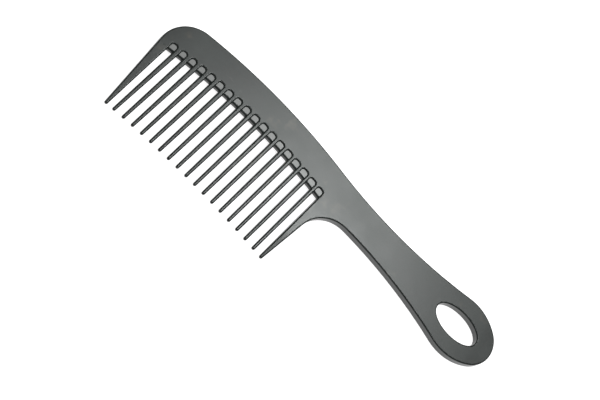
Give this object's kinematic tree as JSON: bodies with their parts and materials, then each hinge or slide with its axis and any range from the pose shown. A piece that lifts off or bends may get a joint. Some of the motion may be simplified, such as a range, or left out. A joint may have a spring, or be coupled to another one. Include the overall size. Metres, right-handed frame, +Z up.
{
  "type": "wide tooth comb",
  "caption": "Flat handled detangling comb with long, widely spaced slim teeth between two guard teeth, a curved back and an oval hanging hole.",
  "frame": {"origin": "bottom centre of the overall box, on the surface that the comb lies on", "axes": "+X from the front of the head to the hanging ring, the teeth point to -Y, +Z up through the thickness"},
  "size_m": [0.216, 0.0745, 0.0048],
  "materials": {
    "moulding": "satin black-grey fibre-filled plastic, lightly rubbed"
  },
  "bodies": {
    "root": {"spine": "moulding", "handle": "moulding", "hanging_ring": "moulding", "front_guard_tooth": "moulding", "rear_guard_tooth": "moulding", "tooth_01": "moulding", "tooth_02": "moulding", "tooth_03": "moulding", "tooth_04": "moulding", "tooth_05": "moulding", "tooth_06": "moulding", "tooth_07": "moulding", "tooth_08": "moulding", "tooth_09": "moulding", "tooth_10": "moulding", "tooth_11": "moulding", "tooth_12": "moulding", "tooth_13": "moulding", "tooth_14": "moulding", "tooth_15": "moulding", "tooth_16": "moulding", "tooth_17": "moulding"}
  },
  "joints": []
}
